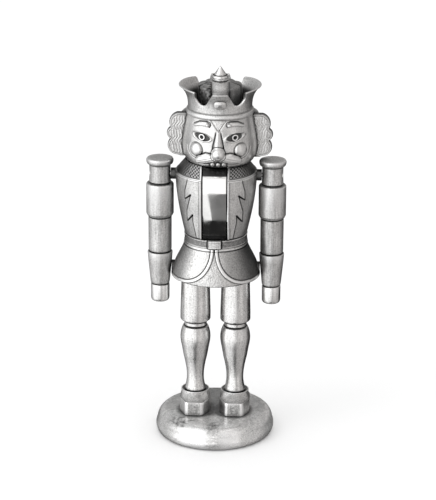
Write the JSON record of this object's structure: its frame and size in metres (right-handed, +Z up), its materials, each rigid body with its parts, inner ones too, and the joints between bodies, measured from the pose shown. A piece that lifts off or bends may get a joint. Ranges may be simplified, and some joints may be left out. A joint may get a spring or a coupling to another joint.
{
  "type": "nutcracker",
  "caption": "Standing king nutcracker in antiqued cast metal: a rear lever drops the jaw in the chest slot to crack a nut under the head, and both arms swing.",
  "frame": {"origin": "centre of the foot pad's underside, on the table", "axes": "+Z up, the figure faces -Y, +X is to the right as seen from the front (the figure's own left)"},
  "size_m": [0.0904, 0.0782, 0.25],
  "materials": {
    "pewter": "antique pewter: satin brushed casting, bright on the edges and blackened in the recesses",
    "dark_pewter": "blackened, cross-hatched casting",
    "polished": "mirror polished",
    "steel": "machined",
    "felt": "black wool felt"
  },
  "bodies": {
    "figure": {"base": "pewter", "base_plate": "steel", "base_pad": "felt", "base_screws": "steel", "left_boot": "pewter", "right_boot": "pewter", "left_leg": "pewter", "right_leg": "pewter", "leg_studs": "steel", "skirt": "pewter", "torso": "pewter", "belt": "pewter", "belt_buckle": "pewter", "collar": "dark_pewter", "jaw_pin": "steel", "jaw_washers": "steel", "head": "pewter", "head_screws": "steel", "hair": "pewter", "crown": "pewter", "crown_gem": "pewter", "crown_cap": "pewter", "finial": "pewter", "finial_stud": "steel", "left_shoulder_bush": "dark_pewter", "right_shoulder_bush": "dark_pewter", "left_shoulder_screw": "steel", "right_shoulder_screw": "steel", "left_hip_stop": "dark_pewter", "right_hip_stop": "dark_pewter"},
    "jaw": {"jaw_lever": "pewter", "jaw_facing": "polished"},
    "arm_left": {"left_epaulette": "pewter", "left_arm": "pewter", "left_cuff": "pewter", "left_hand": "pewter", "left_arm_rod": "steel"},
    "arm_right": {"right_epaulette": "pewter", "right_arm": "pewter", "right_cuff": "pewter", "right_hand": "pewter", "right_arm_rod": "steel"}
  },
  "joints": [
    {"name": "jaw_hinge", "type": "hinge", "parent": "figure", "child": "jaw", "pos_m": [0, 0.004, 0.168], "axis": [1, 0, 0], "range_deg": [0, 30]},
    {"name": "left_shoulder", "type": "hinge", "parent": "figure", "child": "arm_left", "pos_m": [0.0363, 0, 0.1781], "axis": [-1, 0, 0], "range_deg": [-30, 100]},
    {"name": "right_shoulder", "type": "hinge", "parent": "figure", "child": "arm_right", "pos_m": [-0.0363, 0, 0.1781], "axis": [-1, 0, 0], "range_deg": [-30, 100]}
  ]
}
